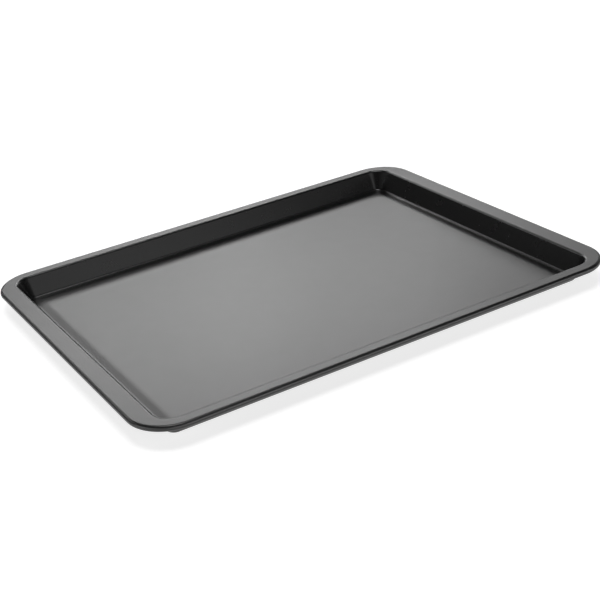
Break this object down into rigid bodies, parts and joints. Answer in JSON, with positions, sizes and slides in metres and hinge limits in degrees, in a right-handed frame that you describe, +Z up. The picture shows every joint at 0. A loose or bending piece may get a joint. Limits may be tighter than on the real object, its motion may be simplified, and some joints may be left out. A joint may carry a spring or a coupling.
{
  "type": "sheet pan",
  "caption": "Shallow non-stick sheet pan pressed from steel, with a slightly raised floor panel, flared walls, a flat flange that widens at both ends, and a rim rolled over a wire.",
  "frame": {"origin": "centre of the pan's footprint, on the surface that it stands on", "axes": "+X along the length, towards one end flange; +Y across the width; +Z up out of the well"},
  "size_m": [0.43, 0.335, 0.0185],
  "materials": {
    "non_stick_coating": "satin dark grey non-stick coating, baked on, glossier on the drawn walls and bends",
    "rim_wire_steel": "drawn bright steel wire"
  },
  "bodies": {
    "root": {"pan_pressing": "non_stick_coating", "rim_wire": "rim_wire_steel"}
  },
  "joints": []
}
